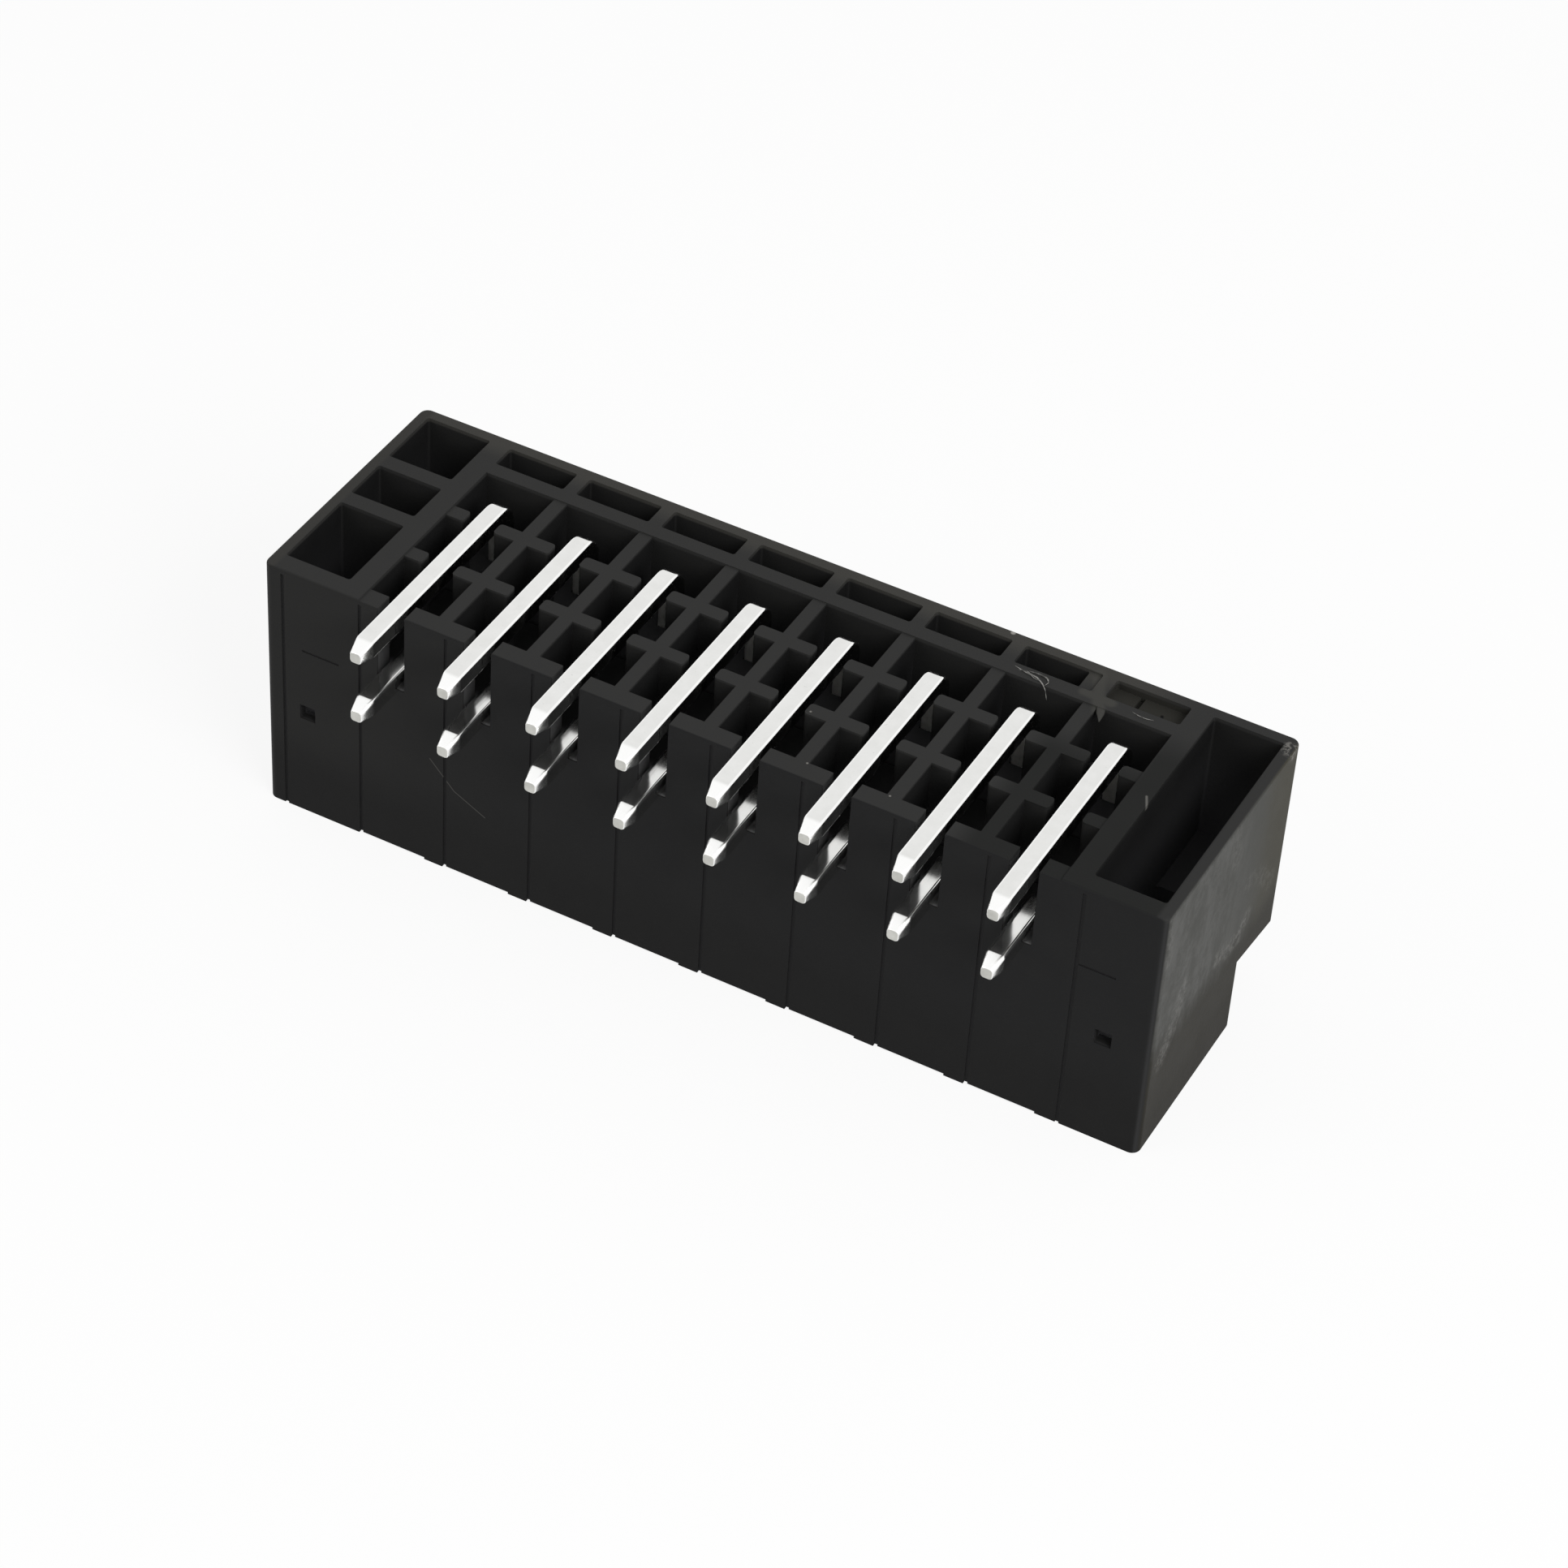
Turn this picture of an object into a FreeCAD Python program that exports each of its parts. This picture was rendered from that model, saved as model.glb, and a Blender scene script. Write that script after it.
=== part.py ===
import FreeCAD, Part
import math
import os

# Right-angle board header of a pluggable terminal block, with two decks of contacts.
# The housing stands on its plug side: the plugs enter from below, along +Z, the board
# lies against the front face, y = 0, and the solder tails leave through it along -Y.
# All sizes are in millimetres.

# Overall form
poles = 8
pitch = 5.08
height = 15.7
end_section = 5.08
corner_radius = 0.5
edge_radius = 0.15

# The back of the housing is cut away beside the plug opening, above a ledge that slopes
step_height = 4.38
step_inset = 4.3
step_drop = 0.58

# Walls, seen from the open top
front_wall = 1.15
middle_wall = 2.45
back_wall = 0.7
end_wall = 0.65
pole_wall = 0.76
end_partition = 1.2
back_rib = 0.88
back_pocket = 1.5
base_wall = 1.1
carrier_wall = 1.5
pocket_radius = 0.15
wall_top_drop = 0.08

# Chambers of one pole, between stub arms that guide the upper tail
front_chamber = 3.2
rear_chamber = 3.2
arm_thickness = 0.85
arm_gap = 1.78
arm_radius = 0.2
tail_slot = 1.6

# End chambers
middle_end_pocket = 2.7
end_rib = 0.95
step_wall = 1.25
rear_end_depth = 7.55

# The last back pocket is shallow, and its neighbour ends in a block
shallow_pocket = 0.55
pocket_block = 0.75
pocket_block_drop = 0.15
pocket_mark = 0.25

# Sockets for the plugs, the one at the back ending higher than the one at the board
socket_height = 5.6
socket_play = 0.1
rear_lift = 1.4
contact_rise = 1.52
guide_rib_width = 0.8
guide_rib_height = 0.5
lead_in = 0.35

# Marks that the mould leaves on the outside
seam_offset = 0.69
seam_width = 0.2
seam_depth = 0.1
end_seam_inset = 1.15
parting_length = 2.2
parting_height = 0.12
parting_depth = 0.06
window = 0.92
window_depth = 0.7
window_z = 6.75
rim_recess = 0.12
rim_nib = 1.1

# Bent square pins
pin = 1.0
pin_fit = 0.02
tail_reach = 3.3
row_pitch = 3.81
pin_cover = 0.05
bend_inside = 0.2
tail_tip = 0.9
tail_tip_top = 0.27
tail_tip_side = 0.18
contact_tip = 1.2
contact_tip_side = 0.25
front_contact_inset = 2.0
rear_contact_inset = 1.0

# Places that follow from the sizes above
overshoot = 1.0
pole_span = poles * pitch
length = pole_span + 2 * end_section
depth = front_wall + socket_height + middle_wall + socket_height + back_wall
socket_length = pole_span + 2 * socket_play
rib_front = depth - back_wall - back_pocket - back_rib
upper_tail_z = height - pin_cover - pin / 2
lower_tail_z = upper_tail_z - row_pitch
slot_floor = lower_tail_z - pin / 2 - pin_fit
front_floor = lower_tail_z - pin / 2 - bend_inside
rear_floor = front_floor + rear_lift
front_socket_y = front_wall
rear_socket_y = depth - back_wall - socket_height
lower_leg_y = front_socket_y + contact_rise
upper_leg_y = rear_socket_y + contact_rise
front_arm = (front_wall + front_chamber, front_wall + front_chamber + arm_thickness)
rear_arm = (rib_front - rear_chamber - arm_thickness, rib_front - rear_chamber)


def block(x, y, z):
    """A box between the two values of each axis."""
    return Part.makeBox(x[1] - x[0], y[1] - y[0], z[1] - z[0], FreeCAD.Vector(x[0], y[0], z[0]))


def prism(outline, sweep):
    """A closed outline of (x, y, z) corners, extruded along a vector."""
    corners = [FreeCAD.Vector(*corner) for corner in outline]
    return Part.Face(Part.makePolygon(corners + corners[:1])).extrude(FreeCAD.Vector(*sweep))


def upright_edges(solid, keep):
    """The edges along Z whose place in plan passes the test keep(x, y)."""
    chosen = []
    for edge in solid.Edges:
        start, end = edge.firstVertex().Point, edge.lastVertex().Point
        if abs(start.x - end.x) < 1e-6 and abs(start.y - end.y) < 1e-6 and keep(start.x, start.y):
            chosen.append(edge)
    return chosen


def wall_faces(pole):
    """The two inner faces, in x, of the walls beside a pole, counted from 0."""
    left_wall = end_partition if pole == 0 else pole_wall
    right_wall = end_partition if pole == poles - 1 else pole_wall
    left_centre = pole * pitch - pole_span / 2
    return left_centre + left_wall / 2, left_centre + pitch - right_wall / 2


def pole_centre(pole):
    return (pole + 0.5) * pitch - pole_span / 2


def outer_body():
    """The stepped end profile carried along the housing, with its corners and top edge rounded."""
    profile = [(0, 0), (depth - step_inset, 0), (depth - step_inset, step_height),
               (depth, step_height - step_drop), (depth, height), (0, height)]
    body = prism([(-length / 2, y, z) for y, z in profile], (length, 0, 0))
    body = body.makeFillet(corner_radius, upright_edges(body, lambda x, y: True))
    top = [edge for edge in body.Edges
           if min(vertex.Z for vertex in edge.Vertexes) > height - 1e-6]
    return body.makeFillet(edge_radius, top)


def cell_prism(pole, back_y, floor):
    """The chambers of a pole as far as back_y, joined by the gap between the stub arms."""
    left, right = wall_faces(pole)
    middle = pole_centre(pole)
    gap = arm_gap / 2
    right_side = [(right, front_wall)]
    for near, far in (front_arm, rear_arm):
        if far < back_y:
            right_side += [(right, near), (middle + gap, near), (middle + gap, far), (right, far)]
    right_side.append((right, back_y))
    left_side = [(left if x == right else 2 * middle - x, y) for x, y in reversed(right_side)]
    cell = prism([(x, y, floor) for x, y in right_side + left_side], (0, 0, height + overshoot - floor))
    return cell.makeFillet(arm_radius, upright_edges(cell, lambda x, y: abs(x - middle) < gap + 1e-6))


def pole_cell(pole):
    """A pole's chambers, deep beside the board, and the slot that its tails leave by."""
    middle = pole_centre(pole)
    slot_x = (middle - tail_slot / 2, middle + tail_slot / 2)
    slot = block(slot_x, (-overshoot, front_wall + overshoot), (slot_floor, height + overshoot))
    return [cell_prism(pole, rib_front, rear_floor), cell_prism(pole, rear_arm[0], front_floor), slot]


def pocket(x, y, floor):
    """A core pocket sunk from the top, with rounded corners."""
    hollow = block(x, y, (floor, height + overshoot))
    return hollow.makeFillet(pocket_radius, upright_edges(hollow, lambda px, py: True))


def back_pockets():
    """The row of narrow pockets behind the rib."""
    y = (depth - back_wall - back_pocket, depth - back_wall)
    hollows = []
    for pole in range(poles):
        left, right = wall_faces(pole)
        if pole == poles - 1:
            hollows.append(pocket((left, right), y, height - shallow_pocket))
            mark_x = left + (right - left) / 3
            mark_floor = height - shallow_pocket - pocket_mark
            hollows.append(block((mark_x, mark_x + pocket_mark), y, (mark_floor, height)))
        elif pole == poles - 2:
            hollows.append(pocket((left, right - pocket_block), y, rear_floor))
            hollows.append(pocket((left, right), y, height - pocket_block_drop))
        else:
            hollows.append(pocket((left, right), y, rear_floor))
    return hollows


def end_pockets(side):
    """Three core pockets in an end chamber; on the right their ribs lie deep inside."""
    outer = length / 2 - end_wall
    inner = (pole_span + end_partition) / 2
    x = (inner, outer) if side > 0 else (-outer, -inner)
    middle_stop = depth - step_inset - step_wall
    middle_start = middle_stop - middle_end_pocket
    rear_end_floor = height - rear_end_depth
    hollows = [pocket(x, (front_wall, middle_start - end_rib), base_wall),
               pocket(x, (middle_start, middle_stop), base_wall),
               pocket(x, (middle_stop + end_rib, depth - back_wall), rear_end_floor)]
    if side > 0:
        hollows.append(pocket(x, (front_wall, depth - back_wall), rear_end_floor))
    return hollows


def mouth_outline(start_y, grow, z):
    """The rectangle of a socket's mouth, grown on every side."""
    half = socket_length / 2 + grow
    near, far = start_y - grow, start_y + socket_height + grow
    corners = [(-half, near), (half, near), (half, far), (-half, far), (-half, near)]
    return Part.makePolygon([FreeCAD.Vector(x, y, z) for x, y in corners])


def socket(start_y, roof):
    """The opening for one plug, with guide ribs on its board side and a lead-in at the mouth."""
    half = socket_length / 2
    rib_y = start_y + guide_rib_height
    end_y = start_y + socket_height
    outline = [(-half, end_y), (-half, start_y)]
    for wall in range(1, poles):
        centre = wall * pitch - pole_span / 2
        near, far = centre - guide_rib_width / 2, centre + guide_rib_width / 2
        outline += [(near, start_y), (near, rib_y), (far, rib_y), (far, start_y)]
    outline += [(half, start_y), (half, end_y)]
    opening = prism([(x, y, -overshoot) for x, y in outline], (0, 0, roof + overshoot))
    mouth = [mouth_outline(start_y, lead_in, 0), mouth_outline(start_y, 0, lead_in)]
    return opening.fuse(Part.makeLoft(mouth, True))


def mould_marks():
    """Seams, parting lines, blind windows and the scalloped rim of the front face."""
    cuts = []
    groove_y = (-overshoot, seam_depth)
    seams = [wall * pitch - pole_span / 2 + seam_offset for wall in range(poles + 1)]
    seams.append(end_seam_inset - length / 2)
    for x in seams:
        cuts.append(block((x - seam_width / 2, x + seam_width / 2), groove_y, (0, height - 2 * edge_radius)))
    for side in (-1, 1):
        near = (pole_span + end_partition) / 2
        x = (near, near + parting_length) if side > 0 else (-near - parting_length, -near)
        cuts.append(block(x, (-overshoot, parting_depth), (slot_floor, slot_floor + parting_height)))
        centre = side * (pole_span + end_section) / 2
        x = (centre - window / 2, centre + window / 2)
        cuts.append(block(x, (-overshoot, window_depth), (window_z - window / 2, window_z + window / 2)))
    for pole in range(poles):
        half = (pitch - rim_nib) / 2
        x = (pole_centre(pole) - half, pole_centre(pole) + half)
        cuts.append(block(x, (-overshoot, front_wall + overshoot), (-overshoot, rim_recess)))
    return cuts


def pin_bore(x, y, floor):
    """The square bore through the carrier wall that holds a pin's leg."""
    half = pin / 2 + pin_fit
    z = (floor - carrier_wall - overshoot, floor + overshoot)
    return block((x - half, x + half), (y - half, y + half), z)


def make_housing():
    cuts = []
    for pole in range(poles):
        cuts += pole_cell(pole)
        cuts.append(pin_bore(pole_centre(pole), lower_leg_y, front_floor))
        cuts.append(pin_bore(pole_centre(pole), upper_leg_y, rear_floor))
    cuts += back_pockets()
    cuts += end_pockets(-1) + end_pockets(1)
    cuts.append(socket(front_socket_y, front_floor - carrier_wall))
    cuts.append(socket(rear_socket_y, rear_floor - carrier_wall))
    cuts += mould_marks()
    inner = (pole_span - end_partition) / 2
    cuts.append(block((-inner, inner), (-overshoot, rib_front), (height - wall_top_drop, height + overshoot)))
    return outer_body().cut(cuts).removeSplitter()


def tip(wide_end, narrow_end):
    """A tapered end between two closed outlines of four (x, y, z) corners."""
    ends = []
    for corners in (wide_end, narrow_end):
        points = [FreeCAD.Vector(*corner) for corner in corners]
        ends.append(Part.makePolygon(points + points[:1]))
    return Part.makeLoft(ends, True, True)


def tail_section(y, inset, low, high):
    """The four corners of the tail's section at y."""
    x = pin / 2 - inset
    return [(-x, y, low), (x, y, low), (x, y, high), (-x, y, high)]


def leg_section(leg_y, z, inset):
    """The four corners of the leg's section at z."""
    half = pin / 2 - inset
    return [(-half, leg_y - half, z), (half, leg_y - half, z), (half, leg_y + half, z), (-half, leg_y + half, z)]


def make_pin(leg_y, tail_z, contact_z):
    """Square wire bent once: tail along -Y with a wedge tip, leg down into its socket."""
    half = pin / 2
    outside = bend_inside + pin
    slant = math.sqrt(0.5)
    centre_y, centre_z = leg_y + half - outside, tail_z + half - outside
    tail_y, leg_z = tail_tip - tail_reach, contact_z + contact_tip
    top, under = tail_z + half, tail_z - half
    back, front = leg_y + half, leg_y - half

    def point(y, z):
        return FreeCAD.Vector(-half, y, z)

    def bend(radius, start, end):
        middle = point(centre_y + radius * slant, centre_z + radius * slant)
        return Part.Arc(point(*start), middle, point(*end)).toShape()

    def line(start, end):
        return Part.makeLine(point(*start), point(*end))

    outline = [line((tail_y, top), (centre_y, top)),
               bend(outside, (centre_y, top), (back, centre_z)),
               line((back, centre_z), (back, leg_z)),
               line((back, leg_z), (front, leg_z)),
               line((front, leg_z), (front, centre_z)),
               bend(bend_inside, (front, centre_z), (centre_y, under)),
               line((centre_y, under), (tail_y, under)),
               line((tail_y, under), (tail_y, top))]
    wire = Part.Face(Part.Wire(outline)).extrude(FreeCAD.Vector(pin, 0, 0))
    tail = tip(tail_section(tail_y, 0, under, top),
               tail_section(-tail_reach, tail_tip_side, under, top - tail_tip_top))
    contact = tip(leg_section(leg_y, leg_z, 0), leg_section(leg_y, contact_z, contact_tip_side))
    return wire.fuse([tail, contact]).removeSplitter()


def export(shape, x, node):
    """Writes one node, moved so that the origin lies below the middle of the whole part."""
    placed = shape.copy()
    placed.translate(FreeCAD.Vector(x, (tail_reach - depth) / 2, 0))
    placed.exportStep(f"parts/{node}.step")


os.makedirs("parts", exist_ok=True)
export(make_housing(), 0, "housing")
upper_pin = make_pin(upper_leg_y, upper_tail_z, step_height + rear_contact_inset)
lower_pin = make_pin(lower_leg_y, lower_tail_z, front_contact_inset)
for pole in range(poles):
    export(upper_pin, pole_centre(pole), f"upper_pin_{pole + 1}")
    export(lower_pin, pole_centre(pole), f"lower_pin_{pole + 1}")
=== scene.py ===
from functools import reduce
import bpy
import numpy as np
from mathutils import Matrix, Vector

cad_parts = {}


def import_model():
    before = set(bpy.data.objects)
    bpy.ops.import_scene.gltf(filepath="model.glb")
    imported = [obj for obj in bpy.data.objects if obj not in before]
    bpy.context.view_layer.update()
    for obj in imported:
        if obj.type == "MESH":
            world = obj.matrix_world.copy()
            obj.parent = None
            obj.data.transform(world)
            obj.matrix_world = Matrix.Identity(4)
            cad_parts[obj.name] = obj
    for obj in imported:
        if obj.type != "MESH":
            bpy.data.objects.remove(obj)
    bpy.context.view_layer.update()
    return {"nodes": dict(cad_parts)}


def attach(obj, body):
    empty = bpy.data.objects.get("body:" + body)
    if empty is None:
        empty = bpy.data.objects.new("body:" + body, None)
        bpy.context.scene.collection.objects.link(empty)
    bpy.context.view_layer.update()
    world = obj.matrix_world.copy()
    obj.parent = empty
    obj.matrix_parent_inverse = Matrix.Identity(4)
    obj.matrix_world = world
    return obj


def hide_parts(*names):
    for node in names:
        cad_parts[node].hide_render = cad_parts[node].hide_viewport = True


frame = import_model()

nodes = frame["nodes"]

# Sizes of the header, in millimetres in its own frame
POLES = 8
PITCH = 5.08
FRONT_Y = -6.1
BACK_Y = 9.4
TOP_Z = 15.7
END_X = 25.4
SOCKET_ROOF_Z = 10.6

# Pins, in millimetres, as thick as their bores. A row has the height of its tails, the place
# of its legs along Y and the height of its lower ends.
PIN = 1.04
TAIL_END_Y = -9.4
BEND_RADIUS = 0.7
PIN_ROWS = {"upper_pin": (15.15, 4.62, 5.38), "lower_pin": (11.34, -3.43, 2.0)}

# Tapered ends of a pin: length, and what the sides, the outside and the inside lose
TAIL_TIP = (0.9, 0.2, 0.28, 0.1)
CONTACT_TIP = (1.2, 0.26, 0.26, 0.26)

# Sections near a pin's end: distance from it, share of the taper, corner radius and inset
TIP_SECTIONS = [(0.0, 1.0, 0.14, 0.05), (0.015, 1.0, 0.17, 0.015), (0.05, 0.95, 0.19, 0.0)]

# Corner radii of a pin along its flats and where its tail's taper starts. The end of its
# contact has this share of the radii in TIP_SECTIONS.
EDGE_ROUND = 0.14
TAIL_START_ROUND = 0.16
CONTACT_END_SHARE = 0.6

# A taper starts softly: one section stands at this distance on each side of its start, and the
# one in the taper has this share of it
TAPER_START = 0.06
TAPER_START_SHARE = 0.06

# Points round the bend and round a corner, how far the straight sections beside the bend stand
# off from it, and how far the support points beside a corner do, as a share of its radius
BEND_POINTS = 13
CORNER_POINTS = 4
BEND_LEAD = 0.05
CORNER_SUPPORT = 0.6

# Flash on the back rib: half width, half thickness, and a path of x, y and height over FLASH_Z.
# A thread has so many points for each place of its path and so many round it, and its path is
# smoothed so many times.
FLASH_Z = TOP_Z + 0.01
FLASH_THREADS = {
    "flash_curl": (0.055, 0.03, [(10.75, 6.95, 0.0), (11.36, 6.76, 0.03), (11.75, 6.71, 0.04),
                                 (12.14, 6.65, 0.05), (12.54, 6.39, 0.04), (12.87, 6.08, -0.03),
                                 (13.16, 5.67, -0.25)]),
    "flash_loop": (0.05, 0.03, [(11.55, 6.95, 0.0), (12.1, 6.95, 0.05), (12.6, 6.86, 0.06),
                                (12.8, 6.6, 0.05), (12.7, 6.35, 0.0)]),
    "flash_wisp": (0.035, 0.025, [(11.0, 6.75, 0.0), (11.5, 6.86, 0.04), (11.95, 6.55, 0.05),
                                  (12.3, 6.5, 0.02)]),
    "flash_line": (0.03, 0.02, [(17.3, 6.85, 0.0), (17.7, 6.72, 0.02), (18.1, 6.70, 0.02),
                                (18.5, 6.82, 0.0)]),
}
FLASH_TOOTH = (0.26, 0.03, [(15.75, 6.75, -0.04), (15.85, 6.3, -0.06), (16.0, 5.9, -0.09),
                            (16.15, 5.45, -0.16)])
THREAD_STEPS = 8
THREAD_AROUND = 8
THREAD_SMOOTHINGS = 6

# Tones of the plastic outside, as linear red, green and blue and an alpha of 1
SIDE_TONE = (0.022, 0.022, 0.022, 1)
# Painted light: the bottoms of the seams in the front are paler, against the shade in them
SEAM_TONE = (0.028, 0.028, 0.029, 1)
# Painted light on the front: paler and warmer at the left, bluer at the right
FRONT_LEFT_TONE = (0.0195, 0.0195, 0.0192, 1)
FRONT_RIGHT_TONE = (0.0133, 0.0135, 0.0141, 1)
FRONT_FOOT_TONE = (0.0108, 0.0108, 0.0110, 1)
WALL_TOP_TONE = (0.031, 0.031, 0.0305, 1)
BACK_TOP_TONE = (0.052, 0.0505, 0.046, 1)
RIGHT_TOP_TONE = (0.014, 0.0145, 0.014, 1)
LEFT_TOP_TONE = (0.041, 0.040, 0.037, 1)
TORN_TONE = (0.062, 0.061, 0.055, 1)
CLOUD_TONE = (0.030, 0.030, 0.029, 1)
# Painted highlights: the glints share this tone with the scratches and the worn corner
SCRAPE_AND_GLINT_TONE = (0.30, 0.29, 0.27, 1)

# Tones of the plastic in the chambers and in the slots of the tails, painted light and shade: darker
# than outside near the tops, where the lamp falls, and paler deeper down, where shade falls
CHAMBER_TONE = (0.0085, 0.0085, 0.0088, 1)
CHAMBER_FRONT_TONE = (0.017, 0.017, 0.0168, 1)
CHAMBER_DEEP_TONE = (0.09, 0.09, 0.094, 1)
LEDGE_TONE = (0.045, 0.045, 0.047, 1)
# Painted light on the shallow pocket's floor, and the painted shade of a slit in it
SHALLOW_FLOOR_TONE = (0.030, 0.029, 0.025, 1)
FLOOR_SLIT_SHADE_TONE = (0.003, 0.003, 0.003, 1)
# Painted light in the slots of the tails, against their shade
SLOT_WALL_TONE = (0.062, 0.062, 0.063, 1)
SLOT_FLOOR_TONE = (0.17, 0.17, 0.172, 1)

# Tones of the right end, painted light as the lamp falls on this side: paler than the other sides,
# with painted sheen over real scuffs
END_TONE = (0.056, 0.0565, 0.052, 1)
END_WORN_AND_SHEEN_TONE = (0.088, 0.088, 0.084, 1)
END_BACK_TONE = (0.047, 0.0445, 0.034, 1)
END_LOW_TONE = (0.023, 0.0215, 0.017, 1)
END_BOTTOM_TONE = (0.015, 0.0135, 0.010, 1)
END_RUB_AND_SHEEN_TONE = (0.20, 0.196, 0.186, 1)

# Tones of the flash and of the tin
FLASH_TONE = (0.05, 0.05, 0.047, 1)
FLASH_PALE_TONE = (0.30, 0.295, 0.28, 1)
TIN_TONE = (0.73, 0.73, 0.712, 1)
TIN_CLOUD_TONE = (0.84, 0.84, 0.825, 1)
TIN_NICK_TONE = (0.50, 0.50, 0.48, 1)
# Painted highlights on the tin's edges and tail tips, and a painted reflection of black walls on the
# upper legs in the chamber
TIN_BRIGHT_TONE = (0.97, 0.97, 0.96, 1)
TIN_SHADED_TONE = (0.10, 0.10, 0.10, 1)
BURR_TONE = (0.42, 0.42, 0.39, 1)
BURR_CLOUD_TONE = (0.78, 0.78, 0.74, 1)

# Soft steps between the tones, in millimetres: no tone at the first place and all of it at
# the second. On the faces, and on the bottoms of the seams in the front:
TOP_FACE_Z = (TOP_Z - 0.3, TOP_Z - 0.15)
FRONT_FACE_Y = (FRONT_Y + 0.12, FRONT_Y + 0.02)
RIGHT_FACE_X = (END_X - 0.1, END_X - 0.02)
BOTH_ENDS_X = (END_X - 0.6, END_X - 0.3)
BACK_FACE_Y = (BACK_Y - 0.6, BACK_Y - 0.3)
SOCKETS_Z = (SOCKET_ROOF_Z + 0.3, SOCKET_ROOF_Z)
SEAMS_Y = (FRONT_Y + 0.6, FRONT_Y + 0.4)
SEAM_FROM_Y = (FRONT_Y + 0.04, FRONT_Y + 0.08)
SEAM_TO_Y = (FRONT_Y + 0.20, FRONT_Y + 0.14)

# In the slots and chambers
POLES_X = (20.9, 20.7)
SLOT_FROM_SEAM = (1.0, 1.3)
SLOT_FROM_Y = (FRONT_Y + 0.04, FRONT_Y + 0.1)
SLOT_TO_Y = (-3.6, -4.6)
SLOT_FROM_Z = (9.9, 10.1)
SLOT_TO_Z = (TOP_Z - 0.15, TOP_Z - 0.5)
CHAMBER_DEEP_Z = (14.5, 8.5)
LEDGES_X = (20.6, 20.9)
LEDGES_Z = (10.0, 9.5)
SHALLOW_LEFT_X = (15.2, 15.4)
SHALLOW_RIGHT_X = (20.2, 20.0)
SHALLOW_Y = (6.9, 7.1)

# On the wall tops, where those at the right are round the end chamber and the last poles
BACK_TOP_X = (20.5, 16.5)
BACK_TOP_Y = (7.4, 8.8)
END_CHAMBER_X = (19.4, 19.9)
END_CHAMBER_Y = (7.0, 4.0)
LAST_POLES_X = (13.5, 15.0)
LAST_POLES_Y = (4.5, 2.0)
RIGHT_RIM_X = (24.9, 24.6)
LEFT_RIM_X = (-24.6, -24.9)

# On the front, on the right end, and on the tails' tips and the upper legs
FRONT_RIGHT_X = (-22.0, -8.0)
FRONT_FOOT_Z = (6.5, 2.0)
END_LOW_Z = (9.4, 6.6)
END_BOTTOM_Z = (6.0, 0.5)
END_BACK_Y = (5.0, 9.0)
END_WORN_AND_SHEEN_Y = (6.5, -1.0)
LEG_BELOW_Z = (14.5, 13.9)
LEG_ABOVE_Z = (10.3, 10.9)
LEG_BEHIND_Y = (3.6, 3.9)
TAIL_TIP_Y = (TAIL_END_Y + 1.0, TAIL_END_Y + 0.75)

# Rubs on the right end, real scuffs with painted sheen: points as (y, z), width and share
END_RUBS_AND_SHEEN = [([(1.75, 15.4), (2.3, 13.0)], 0.9, 0.25),
            ([(5.0, 7.2), (4.3, 6.5), (3.0, 6.7), (1.6, 7.2)], 0.8, 0.5),
            ([(-2.7, 8.7), (-3.6, 6.6), (-4.6, 5.4)], 1.0, 0.45),
            ([(-5.9, 15.2), (-5.4, 12.6)], 0.6, 0.35),
            ([(4.6, 9.9), (6.1, 9.4), (7.8, 7.6)], 0.8, 0.2)]

# Small bright glints painted on the plastic, as painted highlights: place and radius
GLINTS = [((5.4, FRONT_Y + 1.1, TOP_Z), 0.12),
          ((9.95, FRONT_Y + 1.1, TOP_Z), 0.12),
          ((3.7, -1.51, TOP_Z), 0.12),
          ((9.52, 9.22, TOP_Z), 0.17),
          ((14.76, 8.57, TOP_Z), 0.1)]

# The corner at the back right that is worn: place and radius
WORN_CORNER = ((25.3, 8.5, TOP_Z), 0.8)

# Lines on the plastic, as points and width: a painted glint on a partition's edge and the torn places
# on the wall tops, and the painted shade of a slit on the shallow pocket's floor as (x, y), the
# scratch on the front as (x, z)
TOP_EDGE_GLINT = ([(20.62, 1.5), (21.11, 0.48)], 0.09)
TORN_ALONG_WALL = ([(14.65, 8.7), (15.5, 6.7), (16.1, 5.6)], 0.5)
TORN_ALONG_RIB = ([(14.6, 7.0), (16.1, 6.9)], 0.45)
FLOOR_SLIT_SHADE = ([(18.48, 7.95), (18.7, 7.3)], 0.12)
FRONT_SCRATCH = ([(-15.45, 7.1), (-14.0, 5.55), (-12.15, 4.6)], 0.05)

# Studio, in metres: the floor's tone for bounced light and for the eye, how much of it is its
# own light, its half side and its height, the fill of the world, and where the lamps aim
WHITE = (1, 1, 1, 1)
FLOOR_SHADED = (0.62, 0.62, 0.62, 1)
FLOOR_SEEN = (0.97, 0.97, 0.97, 1)
FLOOR_GLOW = 0.87
FLOOR_HALF_SIDE = 2.0
FLOOR_HEIGHT = -0.00002
WORLD_FILL = 0.55
LAMP_AIM = (0, 0, 0.008)

# Camera, as fitted to the photograph: place in metres, directions, and lens in millimetres
EYE = (0.08111, -0.16223, 0.1672)
EYE_RIGHT = (0.8767, 0.4784, 0.0508)
EYE_AHEAD = (-0.3303, 0.6754, -0.6593)
LENS = 109.08
SENSOR = 36.0


# Shader arithmetic


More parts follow.
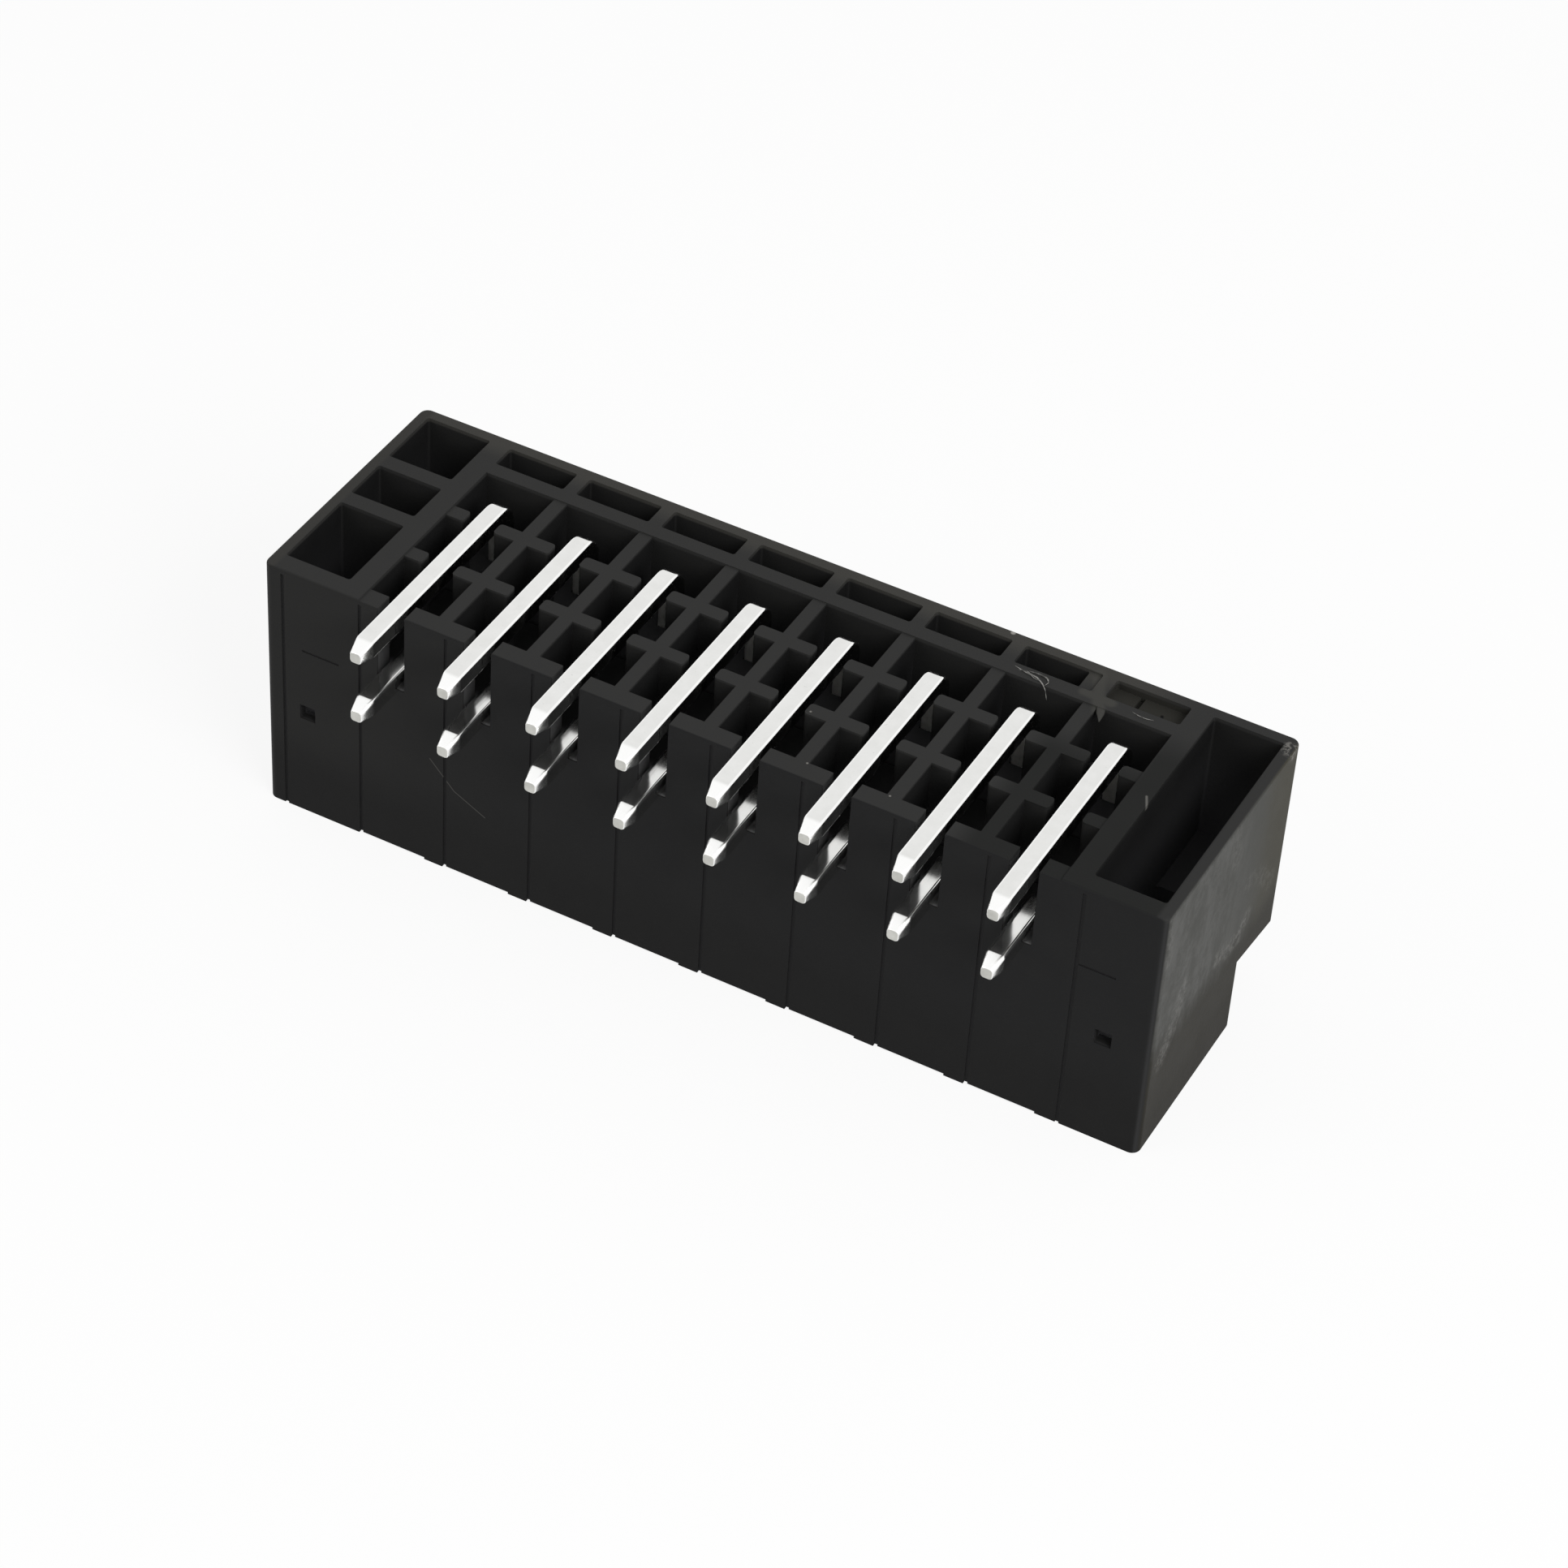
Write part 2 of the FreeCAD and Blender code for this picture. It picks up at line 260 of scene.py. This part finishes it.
class Number:
    """A value inside a node tree, on which Python's arithmetic adds the nodes."""

    def __init__(self, shading, socket):
        self.shading = shading
        self.socket = socket

    def _with(self, operation, *others):
        return self.shading.math(operation, self, *others)

    def __add__(self, other):
        return self._with("ADD", other)

    def __radd__(self, other):
        return self._with("ADD", other)

    def __sub__(self, other):
        return self._with("SUBTRACT", other)

    def __rsub__(self, other):
        return self.shading.math("SUBTRACT", other, self)

    def __mul__(self, other):
        return self._with("MULTIPLY", other)

    def __rmul__(self, other):
        return self._with("MULTIPLY", other)

    def __truediv__(self, other):
        return self._with("DIVIDE", other)

    def __abs__(self):
        return self._with("ABSOLUTE")

    def most(self, other):
        return self._with("MAXIMUM", other)

    def least(self, other):
        return self._with("MINIMUM", other)

    def root(self):
        return self._with("SQRT")

    def folded(self, width):
        """The value folded up and down between 0 and a width."""
        return self._with("PINGPONG", width)

    def clamped(self):
        return self.most(0.0).least(1.0)


def strongest(masks):
    """The largest of several masks at each point."""
    return reduce(Number.most, masks)


class Shading:
    """Adds nodes to one node tree."""

    def __init__(self, tree):
        self.tree = tree
        tree.nodes.clear()

    def node(self, kind, settings=None, values=None):
        """Adds a node of a type: its settings are set first, then its sockets."""
        made = self.tree.nodes.new(kind)
        for key, value in (settings or {}).items():
            setattr(made, key, value)
        for key, value in (values or {}).items():
            if isinstance(value, Number):
                value = value.socket
            if isinstance(value, bpy.types.NodeSocket):
                self.tree.links.new(value, made.inputs[key])
            else:
                made.inputs[key].default_value = value
        return made

    def math(self, operation, *values):
        made = self.node("ShaderNodeMath", {"operation": operation}, dict(enumerate(values)))
        return Number(self, made.outputs[0])

    def rays(self, *kinds):
        """1 for rays of any of these kinds and 0 for all others."""
        path = self.node("ShaderNodeLightPath")
        return strongest([Number(self, path.outputs[kind]) for kind in kinds])

    def mix(self, factor, first, second):
        """A colour between two colours."""
        colours = {"Factor": factor, 6: first, 7: second}
        return self.node("ShaderNodeMix", {"data_type": "RGBA"}, colours).outputs[2]

    def blend(self, factor, first, second):
        """One shader turning into another."""
        shaders = {0: factor, 1: first.outputs[0], 2: second.outputs[0]}
        return self.node("ShaderNodeMixShader", None, shaders).outputs[0]


class Finish(Shading):
    """One node material, with the object's coordinates in millimetres at hand."""

    def __init__(self, name):
        self.material = bpy.data.materials.new(name)
        self.material.use_nodes = True
        super().__init__(self.material.node_tree)
        place = self.node("ShaderNodeTexCoord")
        scaled = self.node("ShaderNodeVectorMath", {"operation": "SCALE"},
                           {0: place.outputs["Object"], "Scale": 1000.0})
        self.place = scaled.outputs["Vector"]
        self.x, self.y, self.z = self.parts(self.place)
        self.facing_x, self.facing_y, self.facing_z = self.parts(place.outputs["Normal"])

    def parts(self, vector):
        split = self.node("ShaderNodeSeparateXYZ", None, {0: vector})
        return [Number(self, split.outputs[axis]) for axis in range(3)]

    def ramp(self, value, start, end):
        """Rises smoothly from 0 at start to 1 at end; start may be the larger one."""
        made = self.node("ShaderNodeMapRange", {"interpolation_type": "SMOOTHSTEP"},
                         {"Value": value, "From Min": min(start, end), "From Max": max(start, end)})
        rising = Number(self, made.outputs["Result"])
        return rising if end >= start else 1.0 - rising

    def stretched(self, x, y, z):
        """The place with each axis scaled, for grain that runs one way."""
        made = self.node("ShaderNodeVectorMath", {"operation": "MULTIPLY"},
                         {0: self.place, 1: (x, y, z)})
        return made.outputs["Vector"]

    def noise(self, scale, detail, roughness, place=None):
        """Noise from 0 to 1, whose scale is in repeats per millimetre."""
        made = self.node("ShaderNodeTexNoise", {"noise_dimensions": "3D"},
                         {"Vector": place or self.place, "Scale": scale, "Detail": detail,
                          "Roughness": roughness})
        return Number(self, made.outputs["Fac"])

    def stroke(self, across, up, points, width):
        """A line of a width through points of a plane: 1 on the line and 0 away from it.
        The distance to each run is that to the nearest point of the run."""
        nearest = None
        for (ax, ay), (bx, by) in zip(points, points[1:]):
            dx, dy = bx - ax, by - ay
            along = (((across - ax) * dx + (up - ay) * dy) / (dx * dx + dy * dy)).clamped()
            off_x, off_y = across - ax - along * dx, up - ay - along * dy
            distance = (off_x * off_x + off_y * off_y).root()
            nearest = distance if nearest is None else nearest.least(distance)
        return self.ramp(nearest, width, 0.3 * width)

    def spot(self, centre, radius):
        """A soft round spot about a point of the surface: 1 inside and 0 outside."""
        made = self.node("ShaderNodeVectorMath", {"operation": "DISTANCE"},
                         {0: self.place, 1: centre})
        return self.ramp(Number(self, made.outputs["Value"]), radius, 0.5 * radius)

    def soft_edge(self, radius):
        """The normal as if every edge were rounded by a radius in millimetres."""
        made = self.node("ShaderNodeBevel", {"samples": 6}, {"Radius": radius * 0.001})
        return made.outputs["Normal"]

    def surface(self, values, height, depth, normal=None):
        """The closing shader: a Principled surface, with a bump of a depth in millimetres."""
        relief = {"Height": height, "Distance": depth * 0.001, "Strength": 1.0}
        if normal is not None:
            relief["Normal"] = normal
        bump = self.node("ShaderNodeBump", None, relief)
        values = dict(values, Normal=bump.outputs["Normal"])
        shader = self.node("ShaderNodeBsdfPrincipled", None, values)
        self.node("ShaderNodeOutputMaterial", None, {"Surface": shader.outputs[0]})
        return self.material


# Black moulded plastic of the housing


def along_poles(paint):
    """1 beside the eight poles and 0 beside the end chambers."""
    return paint.ramp(abs(paint.x), *POLES_X)


def facing_up(paint):
    """1 on floors and tops and 0 on walls."""
    return paint.ramp(paint.facing_z, 0.5, 0.8)


def on_outside(paint, on_top, on_front):
    """1 on the outer faces, the seams, the wall tops and the sockets, 0 in the chambers."""
    ends = paint.ramp(abs(paint.x), *BOTH_ENDS_X)
    back = paint.ramp(paint.y, *BACK_FACE_Y)
    seams = paint.ramp(paint.y, *SEAMS_Y)
    sockets = paint.ramp(paint.z, *SOCKETS_Z) * along_poles(paint)
    return strongest([on_top, on_front, ends, back, seams, sockets])


def in_slot(paint):
    """1 in the slots of the front wall: round the middle of each pole, over the slots' floor."""
    at_pole = paint.ramp(paint.x.folded(PITCH / 2), *SLOT_FROM_SEAM) * along_poles(paint)
    at_height = paint.ramp(paint.z, *SLOT_TO_Z) * paint.ramp(paint.z, *SLOT_FROM_Z)
    in_wall = paint.ramp(paint.y, *SLOT_FROM_Y) * paint.ramp(paint.y, *SLOT_TO_Y)
    return at_pole * at_height * in_wall


def slot_tone(paint):
    """Slots of the tails: painted light, walls paler than the plastic outside and floors paler still,
    against the shade of slots that see little light.
    """
    return paint.mix(facing_up(paint), SLOT_WALL_TONE, SLOT_FLOOR_TONE)


def chamber_tone(paint):
    """Chambers, with painted light and shade: walls dark near the top, where the lamp falls, paler
    where they face the front and with depth, against the shade there, the right end chamber's ledges,
    and the shallow pocket's floor painted paler with the painted shade of a slit."""
    x, y, z = paint.x, paint.y, paint.z
    to_front = paint.ramp(paint.facing_y, -0.5, -0.8)
    tone = paint.mix(to_front, CHAMBER_TONE, CHAMBER_FRONT_TONE)
    tone = paint.mix(paint.ramp(z, *CHAMBER_DEEP_Z), tone, CHAMBER_DEEP_TONE)
    ledges = facing_up(paint) * paint.ramp(x, *LEDGES_X) * paint.ramp(z, *LEDGES_Z)
    tone = paint.mix(ledges, tone, LEDGE_TONE)
    across = paint.ramp(x, *SHALLOW_LEFT_X) * paint.ramp(x, *SHALLOW_RIGHT_X)
    shallow = across * paint.ramp(y, *SHALLOW_Y)
    # Painted shade of a slit in the shallow pocket's floor
    slit_shade = paint.stroke(x, y, *FLOOR_SLIT_SHADE)
    return paint.mix(shallow, tone, paint.mix(slit_shade, SHALLOW_FLOOR_TONE, FLOOR_SLIT_SHADE_TONE))


def wall_top_tone(paint, cloud):
    """Tops of the walls: pale along the back and at the left end, dim round the right end
    chamber and the last poles, and pale where the flash tore off."""
    x, y = paint.x, paint.y
    at_back = paint.ramp(y, *BACK_TOP_Y) * paint.ramp(x, *BACK_TOP_X)
    tone = paint.mix(at_back, WALL_TOP_TONE, BACK_TOP_TONE)
    end_chamber = paint.ramp(x, *END_CHAMBER_X) * paint.ramp(y, *END_CHAMBER_Y)
    last_poles = paint.ramp(x, *LAST_POLES_X) * paint.ramp(y, *LAST_POLES_Y)
    dim = end_chamber.most(last_poles) * paint.ramp(x, *RIGHT_RIM_X)
    tone = paint.mix(dim, tone, RIGHT_TOP_TONE)
    tone = paint.mix(paint.ramp(x, *LEFT_RIM_X), tone, LEFT_TOP_TONE)
    torn = paint.stroke(x, y, *TORN_ALONG_WALL).most(paint.stroke(x, y, *TORN_ALONG_RIB))
    return paint.mix(torn * (0.4 + 0.6 * cloud), tone, TORN_TONE)


def side_tone(paint):
    """Sides and back, and the bottoms of the seams in the front, painted slightly paler against the
    shade in them.
    """
    seam = paint.ramp(paint.y, *SEAM_FROM_Y) * paint.ramp(paint.y, *SEAM_TO_Y)
    return paint.mix(seam, SIDE_TONE, SEAM_TONE)


def front_tone(paint):
    """The face at the board: painted light, paler and warmer at the left and bluer at the right, and
    darker at its foot.
    """
    tone = paint.mix(paint.ramp(paint.x, *FRONT_RIGHT_X), FRONT_LEFT_TONE, FRONT_RIGHT_TONE)
    return paint.mix(paint.ramp(paint.z, *FRONT_FOOT_Z), tone, FRONT_FOOT_TONE)


def end_face_tone(paint, flow):
    """The right end, painted light as it faces the lamp: pale and mottled towards the board, with
    painted sheen over real scuffs, and olive below and at the back.
    """
    y, z = paint.y, paint.z
    mottle = paint.noise(scale=1.7, detail=6.0, roughness=0.72)
    scuff = paint.ramp(paint.noise(scale=2.4, detail=5.0, roughness=0.75), 0.40, 0.66)
    low = paint.ramp(z + 2.4 * flow + 0.8 * mottle, *END_LOW_Z)
    bottom = paint.ramp(z + 1.5 * mottle, *END_BOTTOM_Z)
    back = paint.ramp(y + 2.0 * flow, *END_BACK_Y)
    # Painted sheen over real scuffs, towards the board
    worn_and_sheen = paint.ramp(0.6 * flow + 0.4 * mottle, 0.40, 0.62) * paint.ramp(y, *END_WORN_AND_SHEEN_Y)
    tone = paint.mix(worn_and_sheen, END_TONE, END_WORN_AND_SHEEN_TONE)
    tone = paint.mix(back, tone, END_BACK_TONE)
    tone = paint.mix(low, tone, END_LOW_TONE)
    tone = paint.mix(low * bottom, tone, END_BOTTOM_TONE)
    # Real rubs with painted sheen on them
    rubs_and_sheen = strongest([paint.stroke(y, z, points, width) * share for points, width, share in END_RUBS_AND_SHEEN])
    return paint.mix((rubs_and_sheen * scuff).clamped(), tone, END_RUB_AND_SHEEN_TONE)


def scrapes_and_glints(paint, on_top, on_front):
    """A fine scratch on the front, the worn corner at the back right, and painted highlights: a glint
    on a partition's edge and glints at the corners of walls.
    """
    top_edge_glint = on_top * paint.stroke(paint.x, paint.y, *TOP_EDGE_GLINT)
    front_scratch = on_front * paint.stroke(paint.x, paint.z, *FRONT_SCRATCH)
    crumbs = paint.ramp(paint.noise(scale=4.0, detail=4.0, roughness=0.7), 0.46, 0.66)
    worn_corner = paint.spot(*WORN_CORNER) * crumbs
    glints = [paint.spot(place, radius) for place, radius in GLINTS]
    return strongest([top_edge_glint * 0.35, front_scratch * 0.15, 0.55 * worn_corner, *glints])


def housing_plastic():
    """Black plastic whose tone follows the place: chambers, outside, slots and right end, with
    painted light and shade in the chambers, the slots, the seams, the front and the right end.
    """
    paint = Finish("housing_plastic")
    on_top = paint.ramp(paint.z, *TOP_FACE_Z)
    on_front = paint.ramp(paint.y, *FRONT_FACE_Y)
    on_right = paint.ramp(paint.x, *RIGHT_FACE_X)
    cloud = paint.noise(scale=0.35, detail=4.0, roughness=0.6)
    grain = paint.noise(scale=9.0, detail=2.0, roughness=0.6)
    flow = paint.noise(scale=0.5, detail=5.0, roughness=0.65, place=paint.stretched(1.0, 1.4, 0.5))
    # marks holds the scratches, the worn corner and the painted glints
    marks = scrapes_and_glints(paint, on_top, on_front)

    shown = paint.mix(on_top, side_tone(paint), wall_top_tone(paint, cloud))
    shown = paint.mix(on_front, shown, front_tone(paint))
    colour = paint.mix(on_outside(paint, on_top, on_front), chamber_tone(paint), shown)
    colour = paint.mix(in_slot(paint), colour, slot_tone(paint))
    colour = paint.mix(cloud * 0.3, colour, CLOUD_TONE)
    colour = paint.mix(on_right, colour, end_face_tone(paint, flow))
    colour = paint.mix(marks.clamped(), colour, SCRAPE_AND_GLINT_TONE)
    roughness = (0.44 + 0.12 * cloud + 0.06 * grain + 0.1 * marks).clamped()
    values = {"Base Color": colour, "Roughness": roughness, "Specular IOR Level": 0.05}
    return paint.surface(values, grain + 0.8 * cloud, 0.006, paint.soft_edge(0.03))


def flash_plastic():
    """The same plastic where it is thin and torn, and so much paler."""
    paint = Finish("flash_plastic")
    cloud = paint.noise(scale=3.0, detail=3.0, roughness=0.6)
    colour = paint.mix(paint.ramp(cloud, 0.35, 0.65), FLASH_TONE, FLASH_PALE_TONE)
    roughness = 0.45 + 0.2 * cloud
    values = {"Base Color": colour, "Roughness": roughness, "Specular IOR Level": 0.2}
    return paint.surface(values, cloud, 0.01)


# Tin plated wire of the pins


def pin_tin():
    """Drawn and tinned wire: a little dull along its flats, with painted highlights at its edges and
    on the tail's pressed tip, and rough where the wire was cut. Inside its chamber an upper leg is
    painted darker, a painted reflection of the black walls it mirrors there."""
    paint = Finish("pin_tin")
    drawn = paint.noise(scale=6.0, detail=3.0, roughness=0.6, place=paint.stretched(1.0, 0.06, 0.06))
    cloud = paint.noise(scale=1.2, detail=3.0, roughness=0.6)
    nicks = paint.ramp(paint.noise(scale=4.0, detail=5.0, roughness=0.75), 0.62, 0.72)
    pressed_and_highlit = paint.ramp(paint.y, *TAIL_TIP_Y)
    cut_end = paint.ramp(paint.facing_y, -0.75, -0.95)
    sideways = abs(paint.facing_x)
    lit_edge = paint.ramp(sideways, 0.08, 0.4) * paint.ramp(sideways, 0.97, 0.85)
    in_chamber = paint.ramp(paint.z, *LEG_BELOW_Z) * paint.ramp(paint.z, *LEG_ABOVE_Z)
    inside = in_chamber * paint.ramp(paint.y, *LEG_BEHIND_Y)
    tone = paint.mix(cloud, TIN_TONE, TIN_CLOUD_TONE)
    tone = paint.mix(nicks * 0.35, tone, TIN_NICK_TONE)
    # Painted highlights: the edges and the pressed tail tip are painted bright
    tone = paint.mix(pressed_and_highlit.most(0.85 * lit_edge), tone, TIN_BRIGHT_TONE)
    # Painted reflection: the upper legs are darker inside the chamber
    tone = paint.mix(0.75 * inside, tone, TIN_SHADED_TONE)
    colour = paint.mix(cut_end, tone, paint.mix(cloud, BURR_TONE, BURR_CLOUD_TONE))
    roughness = (0.07 + 0.08 * drawn + 0.03 * cloud + 0.1 * pressed_and_highlit + 0.35 * cut_end).clamped()
    values = {"Base Color": colour, "Metallic": 1.0 - 0.5 * cut_end, "Roughness": roughness}
    return paint.surface(values, drawn + 0.5 * cloud, 0.0015)


# Bent pins with softly rounded edges


def pin_section(half_x, low, high, corner):
    """A rectangle with rounded corners as a closed ring of points (across, out).
    Each corner is a quarter circle about its own centre, between two points that
    lie a little way along the flats, so that the flats stay flat when shaded."""
    angles = np.radians(np.linspace(0, 90, CORNER_POINTS))
    support = CORNER_SUPPORT * corner
    ring = []
    for quarter, (sx, sn) in enumerate([(1, 1), (-1, 1), (-1, -1), (1, -1)]):
        centre = np.array([sx * (half_x - corner), (high - corner) if sn > 0 else (low + corner)])
        turn = angles + quarter * np.pi / 2
        arc = centre + corner * np.column_stack([np.cos(turn), np.sin(turn)])
        before = arc[0] - support * np.array([-np.sin(turn[0]), np.cos(turn[0])])
        after = arc[-1] + support * np.array([-np.sin(turn[-1]), np.cos(turn[-1])])
        ring += [before, *arc, after]
    return np.array(ring)


def pin_stations(tail_z, leg_y, contact_z):
    """Places along the wire's middle line, with the outward direction and the section at each.
    The line runs along +Y at the tail's height, turns down on a quarter circle and ends
    at the contact's tip. Both tips taper in a straight line, and their last edge is rounded."""
    stations = []

    def add(y, z, out_y, out_z, end=TAIL_TIP, taper=0.0, corner=EDGE_ROUND, inset=0.0):
        _, side, outside, inside = end
        ring = pin_section(PIN / 2 - side * taper - inset, -PIN / 2 + inside * taper + inset,
                           PIN / 2 - outside * taper - inset, corner)
        stations.append((y, z, out_y, out_z, ring))

    taper_y, taper_z = TAIL_END_Y + TAIL_TIP[0], contact_z + CONTACT_TIP[0]
    bend_y, bend_z = leg_y - BEND_RADIUS, tail_z - BEND_RADIUS
    for gap, taper, corner, inset in TIP_SECTIONS:
        add(TAIL_END_Y + gap, tail_z, 0, 1, TAIL_TIP, taper, corner, inset)
    add(taper_y - TAPER_START, tail_z, 0, 1, TAIL_TIP, TAPER_START_SHARE, TAIL_START_ROUND)
    add(taper_y + TAPER_START, tail_z, 0, 1)
    add(bend_y - BEND_LEAD, tail_z, 0, 1)
    for angle in np.radians(np.linspace(90, 0, BEND_POINTS)):
        c, s = float(np.cos(angle)), float(np.sin(angle))
        add(bend_y + BEND_RADIUS * c, bend_z + BEND_RADIUS * s, c, s)
    add(leg_y, bend_z - BEND_LEAD, 1, 0)
    add(leg_y, taper_z + TAPER_START, 1, 0)
    add(leg_y, taper_z - TAPER_START, 1, 0, CONTACT_TIP, TAPER_START_SHARE, EDGE_ROUND)
    for gap, taper, corner, inset in reversed(TIP_SECTIONS):
        add(leg_y, contact_z + gap, 1, 0, CONTACT_TIP, taper, CONTACT_END_SHARE * corner, inset)
    return stations


def skinned(name, points, finish):
    """A closed skin over rings of points, of shape (rings, points in a ring, 3) in millimetres:
    quads between neighbouring rings and one flat face over each end ring."""
    rows, around = points.shape[:2]
    index = np.arange(rows * around).reshape(rows, around)
    beside = np.roll(index, -1, axis=1)
    quads = np.stack([index[:-1], beside[:-1], beside[1:], index[1:]], axis=-1).reshape(-1, 4)
    faces = quads.tolist() + [index[0, ::-1].tolist(), index[-1].tolist()]
    mesh = bpy.data.meshes.new(name)
    mesh.from_pydata((points.reshape(-1, 3) * 0.001).tolist(), [], faces)
    smooth = np.ones(len(faces), dtype=bool)
    smooth[-2:] = False
    mesh.polygons.foreach_set("use_smooth", smooth)
    mesh.materials.append(finish)
    piece = bpy.data.objects.new(name, mesh)
    bpy.context.scene.collection.objects.link(piece)
    return piece


def bent_pin(name, x, row, finish):
    """The wire's section carried along its middle line: each point is the line's point, plus
    its distance across along X, plus its distance out along the outward direction."""
    stations = pin_stations(*row)
    line = np.array([(0.0, y, z) for y, z, *_ in stations])
    out = np.array([(0.0, out_y, out_z) for _, _, out_y, out_z, _ in stations])
    rings = np.array([ring for *_, ring in stations])
    points = line[:, None] + rings[:, :, 1:] * out[:, None]
    points[:, :, 0] = x + rings[:, :, 0]
    return skinned(name, points, finish)


def pins(finish):
    """The sixteen pins, each in the place of its plain CAD node."""
    for row_name, row in PIN_ROWS.items():
        for pole in range(POLES):
            x = (pole + 0.5 - POLES / 2) * PITCH
            piece = bent_pin(f"bent_{row_name}_{pole + 1}", x, row, finish)
            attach(piece, "root")
            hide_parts(f"{row_name}_{pole + 1}")


# Thin flash that the mould left on the back rib


def strand(name, width, thickness, path, finish):
    """A flattened thread carried along a smooth curve. The curve is the straight runs between
    the given places, each of its points averaged a few times with its two neighbours. Each
    point of the oval section is the curve's point plus width times a cosine to the side plus
    thickness times a sine upwards, and both ends are thin."""
    places = np.array(path) + np.array([0.0, 0.0, FLASH_Z])
    steps = np.linspace(0, len(places) - 1, THREAD_STEPS * len(places))
    marks = np.arange(len(places))
    line = np.column_stack([np.interp(steps, marks, places[:, axis]) for axis in range(3)])
    for _ in range(THREAD_SMOOTHINGS):
        line[1:-1] = 0.25 * line[:-2] + 0.5 * line[1:-1] + 0.25 * line[2:]
    ahead = np.gradient(line, axis=0)
    side = np.column_stack([-ahead[:, 1], ahead[:, 0], np.zeros(len(line))])
    side /= np.linalg.norm(side, axis=1)[:, None]
    up = np.cross(ahead, side)
    up /= np.linalg.norm(up, axis=1)[:, None]
    along = np.linspace(0, 1, len(line))
    swell = np.interp(along, [0, 0.25, 0.6, 1], [0.15, 1.0, 0.8, 0.1])
    angle = np.linspace(0, 2 * np.pi, THREAD_AROUND, endpoint=False)
    to_side = (swell * width)[:, None, None] * np.cos(angle)[None, :, None] * side[:, None]
    upwards = (swell * thickness)[:, None, None] * np.sin(angle)[None, :, None] * up[:, None]
    points = line[:, None] + to_side + upwards
    piece = skinned(name, points, finish)
    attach(piece, "root")


def flash(thread_finish, rib_finish):
    """A curl of three threads and a short thread along the back rib, and a small tooth beside
    a wall."""
    for name, (width, thickness, path) in FLASH_THREADS.items():
        strand(name, width, thickness, path, thread_finish)
    strand("flash_tooth", *FLASH_TOOTH, rib_finish)


# Studio


def floor():
    """A large flat sheet under the part: four corners, four metres apart."""
    side = np.array([-FLOOR_HALF_SIDE, FLOOR_HALF_SIDE])
    x, y = np.meshgrid(side, side)
    corners = np.column_stack([x.ravel(), y.ravel(), np.full(4, FLOOR_HEIGHT)])
    mesh = bpy.data.meshes.new("floor")
    mesh.from_pydata(corners.tolist(), [], [(0, 1, 3, 2)])
    sheet = bpy.data.objects.new("floor", mesh)
    bpy.context.scene.collection.objects.link(sheet)
    paint = Finish("floor_paper")
    seen = paint.rays("Is Camera Ray", "Is Glossy Ray", "Is Transmission Ray")
    tone = paint.mix(seen, FLOOR_SHADED, FLOOR_SEEN)
    paper = paint.node("ShaderNodeBsdfDiffuse", None, {"Color": tone})
    light = paint.node("ShaderNodeEmission", None, {"Color": WHITE, "Strength": 1.0})
    lit = paint.blend(seen * FLOOR_GLOW, paper, light)
    paint.node("ShaderNodeOutputMaterial", None, {"Surface": lit})
    mesh.materials.append(paint.material)


def world():
    """White for the eye, for gloss and for glass, and a softer fill for all other rays."""
    made = bpy.data.worlds.new("studio")
    bpy.context.scene.world = made
    made.use_nodes = True
    sky = Shading(made.node_tree)
    seen = sky.rays("Is Camera Ray", "Is Glossy Ray", "Is Transmission Ray")
    fill = sky.node("ShaderNodeBackground", None, {"Color": WHITE, "Strength": WORLD_FILL})
    plain = sky.node("ShaderNodeBackground", None, {"Color": WHITE, "Strength": 1.0})
    sky.node("ShaderNodeOutputWorld", None, {"Surface": sky.blend(seen, fill, plain)})


def lamp(name, place, size, power, colour):
    """A square soft lamp that faces the middle of the part."""
    data = bpy.data.lights.new(name, "AREA")
    data.shape = "SQUARE"
    data.size = size
    data.energy = power
    data.color = colour
    made = bpy.data.objects.new(name, data)
    aim = Vector(LAMP_AIM) - Vector(place)
    turn = aim.to_track_quat("-Z", "Y").to_matrix().to_4x4()
    made.matrix_world = Matrix.Translation(place) @ turn
    bpy.context.scene.collection.objects.link(made)


def camera():
    """The photograph's view: a long lens from the front right, turned a little about its axis."""
    data = bpy.data.cameras.new("camera")
    data.lens = LENS
    data.sensor_width = SENSOR
    data.clip_start = 0.01
    data.clip_end = 10.0
    made = bpy.data.objects.new("camera", data)
    ahead = Vector(EYE_AHEAD).normalized()
    up = Vector(EYE_RIGHT).cross(ahead).normalized()
    right = ahead.cross(up)
    turn = Matrix((right, up, -ahead)).transposed().to_4x4()
    made.matrix_world = Matrix.Translation(EYE) @ turn
    bpy.context.scene.collection.objects.link(made)
    bpy.context.scene.camera = made


def dress():
    """Puts the finishes on the CAD nodes, on the pins that stand in for theirs and on the flash."""
    plastic, tin = housing_plastic(), pin_tin()
    for name, node in nodes.items():
        node.data.materials.clear()
        node.data.materials.append(tin if "_pin_" in name else plastic)
    pins(tin)
    flash(flash_plastic(), plastic)


camera()
world()
floor()
lamp("key", place=(0.4, -0.2, 0.35), size=0.3, power=1.85, colour=(1.0, 1.0, 1.0))
lamp("left_fill", place=(-0.4, -0.35, 0.3), size=0.3, power=0.4, colour=(1.0, 0.96, 0.9))
dress()

bpy.context.scene.view_settings.view_transform = "Standard"
